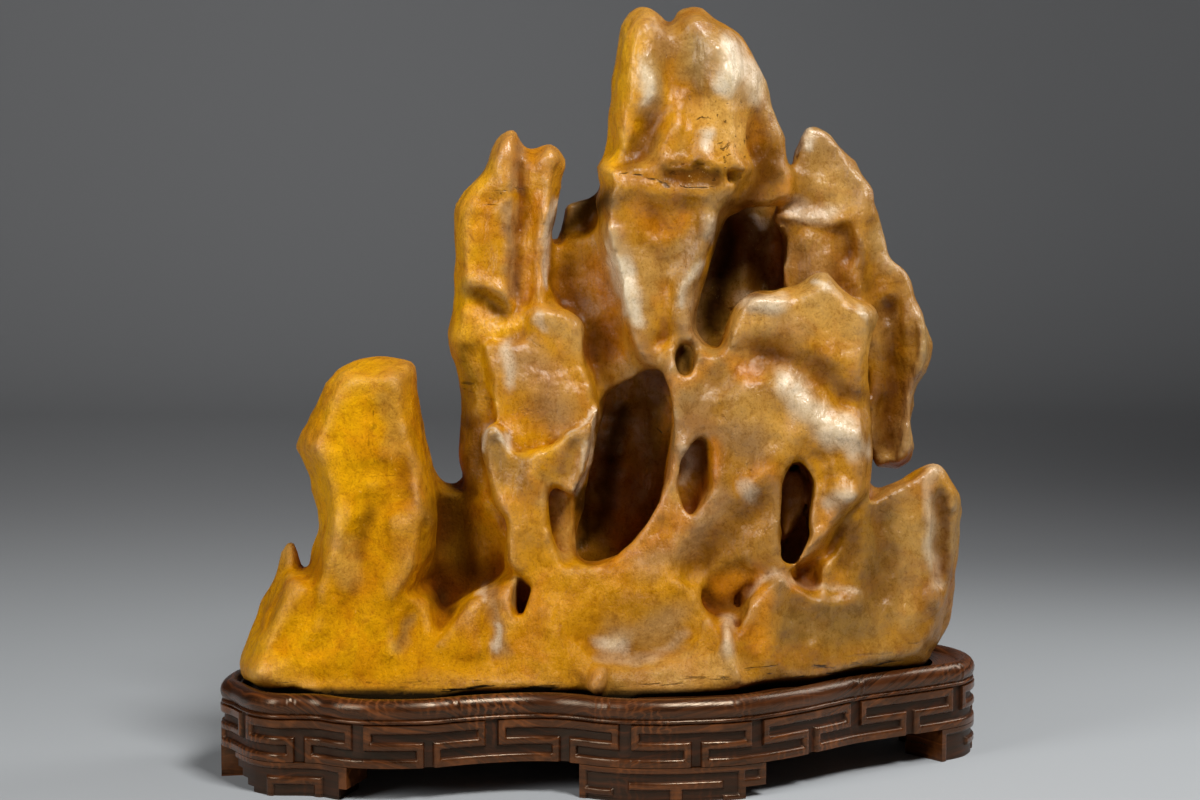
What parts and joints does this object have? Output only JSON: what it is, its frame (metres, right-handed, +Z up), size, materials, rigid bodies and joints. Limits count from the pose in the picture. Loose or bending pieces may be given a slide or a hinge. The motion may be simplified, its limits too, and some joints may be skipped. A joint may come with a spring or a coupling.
{
  "type": "scholar's rock",
  "caption": "Waxy yellow scholar's rock with peaks, caves and hollows, standing in a carved dark hardwood base with a running key fret and block feet.",
  "frame": {"origin": "under the middle of the stand, on the plane that its feet stand on", "axes": "+Z up, -Y towards the front of the rock, +X to the right as seen from the front"},
  "size_m": [0.3802, 0.176, 0.3802],
  "materials": {
    "stone": "waxy polish",
    "wood": "satin, dark stained"
  },
  "bodies": {
    "root": {"rock": "stone", "stand_top": "wood", "foot_front": "wood", "foot_left": "wood", "foot_right": "wood", "foot_back_left": "wood", "foot_back_right": "wood"}
  },
  "joints": []
}
